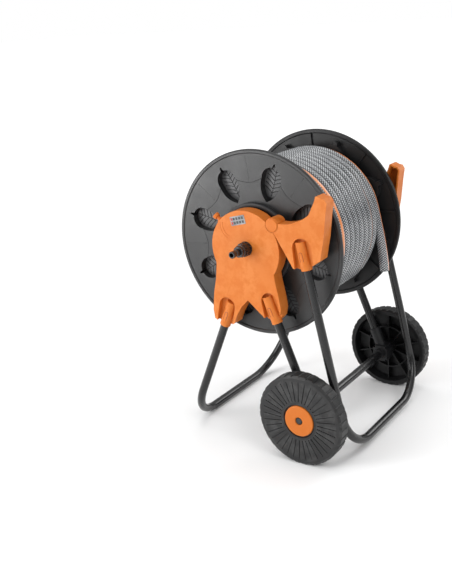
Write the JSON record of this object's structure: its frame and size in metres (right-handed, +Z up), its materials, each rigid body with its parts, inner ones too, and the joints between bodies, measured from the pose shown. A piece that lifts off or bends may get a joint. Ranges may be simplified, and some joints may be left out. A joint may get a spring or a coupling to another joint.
{
  "type": "garden hose reel cart",
  "caption": "Two-wheeled tube-frame cart carrying a crank-turned drum of garden hose between round flanges, with a fold-over push handle and a side water inlet.",
  "frame": {"origin": "on the floor, under the middle of the cart's bounding box (inlet nipple to crank grip, flange front to handle run)", "axes": "+Z up; X along the reel axis, -X the water inlet side, +X the crank side; +Y towards the front foot, -Y towards the wheels and stored handle"},
  "size_m": [0.5254, 0.426, 0.6348],
  "materials": {
    "tube_paint": "gloss black powder coat",
    "orange": "satin moulded orange",
    "flange_grey": "fine-grained dark grey moulding with a glossy rim",
    "core_black": "plain black moulding",
    "wheel_grey": "dark grey moulding, grooved",
    "fitting_black": "glossy black moulding",
    "steel": "zinc plated",
    "bearing_white": "smooth natural acetal",
    "seal": "black rubber",
    "hose_braid": "clear-skinned hose over grey and black braid with an orange stripe",
    "plate_grey": "printed grey plate"
  },
  "bodies": {
    "frame": {"front_foot_tube": "tube_paint", "near_wheel_leg": "tube_paint", "far_wheel_leg": "tube_paint", "cross_tube": "tube_paint", "near_axle_bracket": "core_black", "far_axle_bracket": "core_black", "axle_rod": "steel", "near_push_nut": "fitting_black", "far_push_nut": "fitting_black", "near_bracket": "orange", "far_bracket": "orange", "near_cover": "core_black", "far_cover": "core_black", "near_cover_screws": "steel", "far_cover_screws": "steel", "rating_plate": "plate_grey", "near_bush": "bearing_white", "far_bush": "bearing_white", "inlet_nut": "fitting_black", "inlet_collar": "fitting_black", "inlet_nipple": "fitting_black", "inlet_seal": "seal"},
    "reel": {"near_flange": "flange_grey", "far_flange": "flange_grey", "drum_core": "core_black", "near_journal": "core_black", "far_journal": "core_black", "near_hub_screws": "steel", "far_hub_screws": "steel", "outlet_elbow": "core_black", "hose_coil": "hose_braid", "hose_end": "hose_braid", "crank_arm": "core_black", "crank_screw": "steel", "crank_pin": "steel"},
    "grip": {"crank_grip": "fitting_black", "grip_cap": "orange"},
    "handle": {"handle_tube": "tube_paint", "near_wing": "orange", "far_wing": "orange", "near_pivot_pin": "orange", "far_pivot_pin": "orange"},
    "wheel_near": {"near_wheel": "wheel_grey", "near_hub_cap": "orange", "near_wheel_bush": "bearing_white"},
    "wheel_far": {"far_wheel": "wheel_grey", "far_hub_cap": "orange", "far_wheel_bush": "bearing_white"},
    "catch_near": {"near_catch": "orange"},
    "catch_far": {"far_catch": "orange"}
  },
  "joints": [
    {"name": "reel_spin", "type": "hinge", "parent": "frame", "child": "reel", "pos_m": [-0.0207, 0.01304, 0.43482], "axis": [1, 0, 0], "continuous": true},
    {"name": "grip_spin", "type": "hinge", "parent": "reel", "child": "grip", "pos_m": [0.2193, 0.13485, 0.40677], "axis": [1, 0, 0], "continuous": true},
    {"name": "handle_fold", "type": "hinge", "parent": "frame", "child": "handle", "pos_m": [-0.0207, -0.05294, 0.48952], "axis": [1, 0, 0], "range_deg": [-144, 0]},
    {"name": "near_wheel_spin", "type": "hinge", "parent": "frame", "child": "wheel_near", "pos_m": [-0.2307, -0.11704, 0.096], "axis": [1, 0, 0], "continuous": true},
    {"name": "far_wheel_spin", "type": "hinge", "parent": "frame", "child": "wheel_far", "pos_m": [0.1893, -0.11704, 0.096], "axis": [1, 0, 0], "continuous": true},
    {"name": "near_catch_press", "type": "slide", "parent": "frame", "child": "catch_near", "axis": [0, -0.7768, -0.6297], "range_m": [0, 0.004], "stiffness_N_per_m": 600, "springref_m": -0.002},
    {"name": "far_catch_press", "type": "slide", "parent": "frame", "child": "catch_far", "axis": [0, -0.7768, -0.6297], "range_m": [0, 0.004], "stiffness_N_per_m": 600, "springref_m": -0.002}
  ]
}
